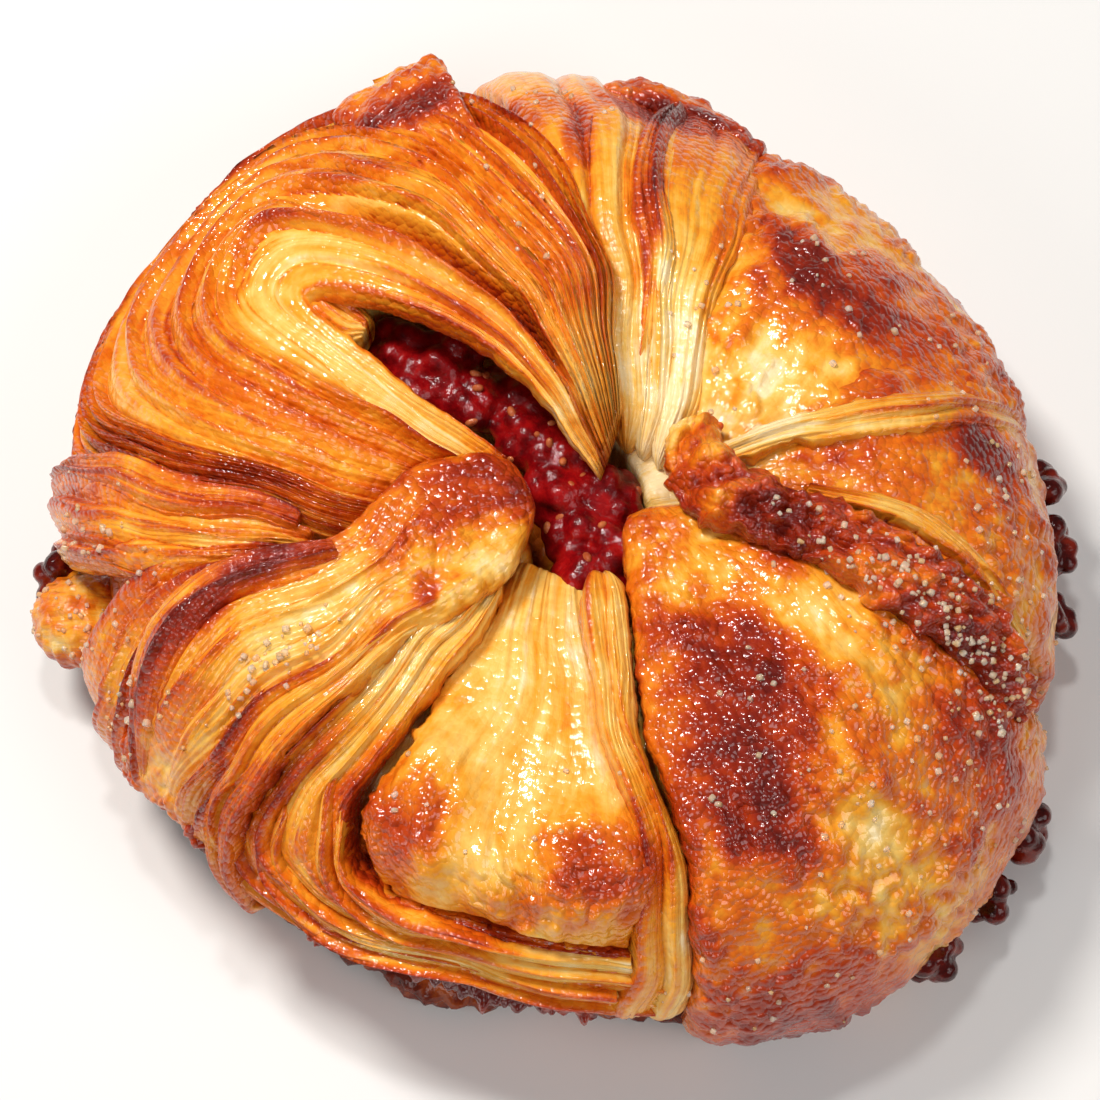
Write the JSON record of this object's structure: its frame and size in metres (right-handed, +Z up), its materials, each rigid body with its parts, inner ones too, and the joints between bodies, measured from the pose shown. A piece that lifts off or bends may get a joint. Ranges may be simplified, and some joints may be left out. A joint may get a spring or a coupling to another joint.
{
  "type": "kouign amann",
  "caption": "Round laminated butter cake with folds swept like fan blades round a slot of berry filling, on a disc of set caramel.",
  "frame": {"origin": "under the middle of the whole, on the surface that it stands on", "axes": "+Z up, out of the slot of filling; +X towards the side where three lumps of jam leaked"},
  "size_m": [0.107, 0.101, 0.0381],
  "materials": {
    "baked_dough": "golden crust under a clear sugar glaze, glossy",
    "jam": "wet dark red raspberry filling",
    "caramel": "hard dark caramel, glossy",
    "burnt_jam": "burnt jam, near black, glossy"
  },
  "bodies": {
    "root": {"dough": "baked_dough", "filling": "jam", "caramel_base": "caramel", "leak_right_upper": "burnt_jam", "leak_right_middle": "burnt_jam", "leak_right_lower": "burnt_jam", "leak_lower_right_upper": "burnt_jam", "leak_lower_right_middle": "burnt_jam", "leak_lower_right_lower": "burnt_jam", "leak_left": "burnt_jam"}
  },
  "joints": []
}
